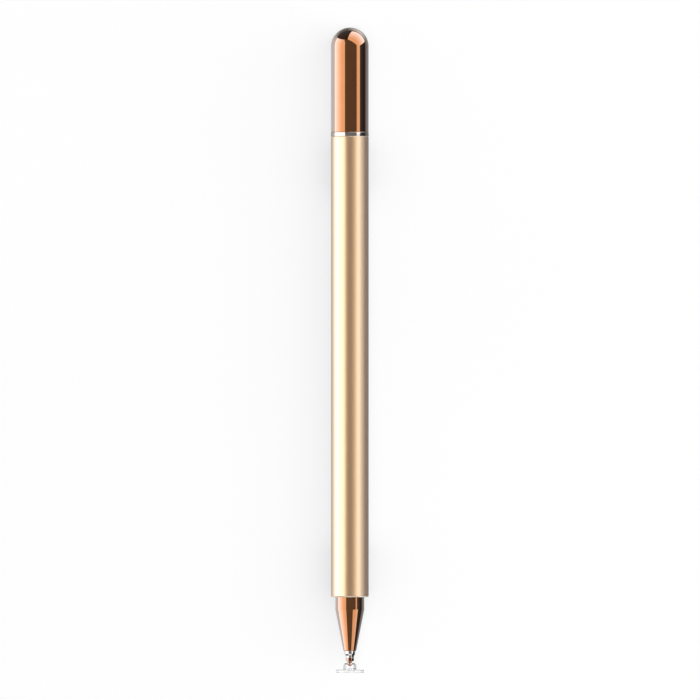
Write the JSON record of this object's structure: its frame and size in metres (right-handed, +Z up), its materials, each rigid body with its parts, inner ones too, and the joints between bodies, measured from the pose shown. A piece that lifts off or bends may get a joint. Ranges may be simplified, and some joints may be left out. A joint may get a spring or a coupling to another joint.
{
  "type": "stylus pen",
  "caption": "Slim metal touch-screen stylus: satin gold tube, polished cap posted on its tail, tapered nose and a clear disc nib on a ball joint.",
  "frame": {"origin": "bottom centre of the pen's box as it lies on a table: midway along its length, on the line where barrel and cap touch the table", "axes": "+Y along the pen from the disc nib to the round end of the cap, +Z up, +X to the right when the pen is seen from above with its cap away from the viewer"},
  "size_m": [0.009, 0.154, 0.009],
  "materials": {
    "champagne_anodise": "satin champagne-gold anodising with bright cut edges",
    "rose_gold_plate": "mirror-polished rose-gold plating",
    "bright_chrome": "bright chrome plating",
    "polished_steel": "polished magnetic stainless steel",
    "copper_plate": "polished copper plating",
    "turned_brass": "turned, bare",
    "magnet_nickel": "nickel-plated sintered magnet",
    "liner_plastic": "moulded, fine matt",
    "clear_plastic": "clear moulded, polished",
    "clear_film": "clear conductive film"
  },
  "bodies": {
    "pen": {"barrel": "champagne_anodise", "nose_cone": "rose_gold_plate", "nib_collar": "bright_chrome", "front_magnet": "magnet_nickel", "front_bush": "turned_brass", "tail_magnet": "magnet_nickel", "tail_bush": "turned_brass", "tail_plug": "rose_gold_plate"},
    "cap": {"cap_shell": "rose_gold_plate", "cap_ring": "polished_steel", "cap_liner": "liner_plastic"},
    "nib_stem": {"ball_stem": "copper_plate"},
    "disc": {"disc_hub": "clear_plastic", "touch_disc": "clear_plastic", "contact_film": "clear_film"}
  },
  "joints": [
    {"name": "cap_pull", "type": "slide", "parent": "pen", "child": "cap", "axis": [0, 1, 0], "range_m": [0, 0.03]},
    {"name": "disc_swivel", "type": "hinge", "parent": "pen", "child": "nib_stem", "pos_m": [0, -0.07494, 0.0045], "axis": [0, 1, 0], "continuous": true},
    {"name": "disc_tilt", "type": "hinge", "parent": "nib_stem", "child": "disc", "pos_m": [0, -0.07494, 0.0045], "axis": [1, 0, 0], "range_deg": [-30, 30]}
  ]
}
